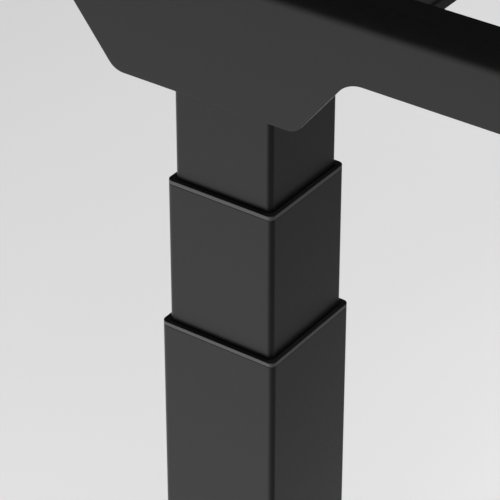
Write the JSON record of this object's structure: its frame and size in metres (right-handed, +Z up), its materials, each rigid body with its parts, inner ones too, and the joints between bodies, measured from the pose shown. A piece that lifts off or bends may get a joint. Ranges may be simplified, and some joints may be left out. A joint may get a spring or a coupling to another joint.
{
  "type": "height adjustable standing desk frame",
  "caption": "Electric height adjustable desk frame: two three-stage square lifting columns on feet, joined by telescoping rails under side brackets.",
  "frame": {"origin": "centre of the footprint, on the floor", "axes": "+X along the desk's width to the right, -Y is the user's side, +Z up"},
  "size_m": [1.217, 0.656, 0.71],
  "materials": {
    "powder_coat": "fine-textured charcoal powder coat",
    "collar_plastic": "matt moulded",
    "rubber": "matt",
    "motor_housing": "satin black enamel",
    "zinc": "bright zinc plate",
    "brass": "turned",
    "handset_plastic": "fine spark texture",
    "key_plastic": "satin",
    "circuit_board": "solder mask"
  },
  "bodies": {
    "left_base": {"left_foot": "powder_coat", "left_foot_caps": "collar_plastic", "left_levelling_feet": "rubber", "left_base_plate": "powder_coat", "left_base_screws": "zinc", "left_outer_tube": "powder_coat", "left_outer_glide": "collar_plastic", "left_base_riser": "zinc", "left_base_nut": "brass"},
    "left_middle": {"left_middle_tube": "powder_coat", "left_middle_glide": "collar_plastic", "left_middle_riser": "zinc", "left_middle_nut": "brass", "left_screw_bearing": "zinc"},
    "left_hollow_screw": {"left_hollow_screw": "zinc"},
    "left_top": {"left_inner_tube": "powder_coat", "left_gearbox": "motor_housing", "left_motor": "motor_housing", "left_side_bracket": "powder_coat", "left_front_sleeve": "powder_coat", "left_rear_sleeve": "powder_coat", "left_clamp_screws": "zinc", "front_rail": "powder_coat", "rear_rail": "powder_coat", "control_box": "powder_coat", "control_cover": "powder_coat", "control_board": "circuit_board", "power_inlet": "handset_plastic", "handset_case": "handset_plastic", "handset_panel": "handset_plastic"},
    "left_inner_screw": {"left_inner_screw": "zinc", "left_worm_wheel": "brass"},
    "left_motor_shaft": {"left_motor_shaft": "zinc"},
    "right_base": {"right_foot": "powder_coat", "right_foot_caps": "collar_plastic", "right_levelling_feet": "rubber", "right_base_plate": "powder_coat", "right_base_screws": "zinc", "right_outer_tube": "powder_coat", "right_outer_glide": "collar_plastic", "right_base_riser": "zinc", "right_base_nut": "brass"},
    "right_middle": {"right_middle_tube": "powder_coat", "right_middle_glide": "collar_plastic", "right_middle_riser": "zinc", "right_middle_nut": "brass", "right_screw_bearing": "zinc"},
    "right_hollow_screw": {"right_hollow_screw": "zinc"},
    "right_top": {"right_inner_tube": "powder_coat", "right_gearbox": "motor_housing", "right_motor": "motor_housing", "right_side_bracket": "powder_coat", "right_front_sleeve": "powder_coat", "right_rear_sleeve": "powder_coat", "right_clamp_screws": "zinc"},
    "right_inner_screw": {"right_inner_screw": "zinc", "right_worm_wheel": "brass"},
    "right_motor_shaft": {"right_motor_shaft": "zinc"},
    "up_key": {"up_key": "key_plastic"},
    "down_key": {"down_key": "key_plastic"}
  },
  "joints": [
    {"name": "lift", "type": "slide", "parent": "left_base", "child": "left_middle", "axis": [0, 0, 1], "range_m": [-0.05, 0.275]},
    {"name": "left_upper_stage", "type": "slide", "parent": "left_middle", "child": "left_top", "axis": [0, 0, 1], "range_m": [-0.05, 0.275]},
    {"name": "width_slide", "type": "slide", "parent": "left_top", "child": "right_top", "axis": [1, 0, 0], "range_m": [-0.1, 0.3]},
    {"name": "right_upper_stage", "type": "slide", "parent": "right_top", "child": "right_middle", "axis": [0, 0, -1], "range_m": [-0.05, 0.275]},
    {"name": "right_lower_stage", "type": "slide", "parent": "right_middle", "child": "right_base", "axis": [0, 0, -1], "range_m": [-0.05, 0.275]},
    {"name": "left_hollow_screw_turn", "type": "hinge", "parent": "left_middle", "child": "left_hollow_screw", "pos_m": [-0.5685, 0, 0.3], "axis": [0, 0, 1], "range_deg": [-2251, 12376]},
    {"name": "left_inner_screw_turn", "type": "hinge", "parent": "left_top", "child": "left_inner_screw", "pos_m": [-0.5685, 0, 0.6], "axis": [0, 0, 1], "range_deg": [-2251, 12376]},
    {"name": "left_motor_turn", "type": "hinge", "parent": "left_top", "child": "left_motor_shaft", "pos_m": [-0.5685, 0.0156, 0.668], "axis": [1, 0, 0], "range_deg": [-27005, 148505]},
    {"name": "right_hollow_screw_turn", "type": "hinge", "parent": "right_middle", "child": "right_hollow_screw", "pos_m": [0.5685, 0, 0.3], "axis": [0, 0, 1], "range_deg": [-2251, 12376]},
    {"name": "right_inner_screw_turn", "type": "hinge", "parent": "right_top", "child": "right_inner_screw", "pos_m": [0.5685, 0, 0.6], "axis": [0, 0, 1], "range_deg": [-2251, 12376]},
    {"name": "right_motor_turn", "type": "hinge", "parent": "right_top", "child": "right_motor_shaft", "pos_m": [0.5685, 0.0156, 0.668], "axis": [1, 0, 0], "range_deg": [-27005, 148505]},
    {"name": "up_key_press", "type": "slide", "parent": "left_top", "child": "up_key", "axis": [0, 1, 0], "range_m": [0, 0.0012], "stiffness_N_per_m": 800},
    {"name": "down_key_press", "type": "slide", "parent": "left_top", "child": "down_key", "axis": [0, 1, 0], "range_m": [0, 0.0012], "stiffness_N_per_m": 800}
  ],
  "couplings": [
    {"joint": "left_upper_stage", "follows": "lift", "ratio": 1},
    {"joint": "right_upper_stage", "follows": "lift", "ratio": 1},
    {"joint": "right_lower_stage", "follows": "lift", "ratio": 1},
    {"joint": "left_hollow_screw_turn", "follows": "lift", "rad_per_m": 785.4},
    {"joint": "left_inner_screw_turn", "follows": "lift", "rad_per_m": 785.4},
    {"joint": "left_motor_turn", "follows": "lift", "rad_per_m": 9424.8},
    {"joint": "right_hollow_screw_turn", "follows": "lift", "rad_per_m": 785.4},
    {"joint": "right_inner_screw_turn", "follows": "lift", "rad_per_m": 785.4},
    {"joint": "right_motor_turn", "follows": "lift", "rad_per_m": 9424.8}
  ]
}
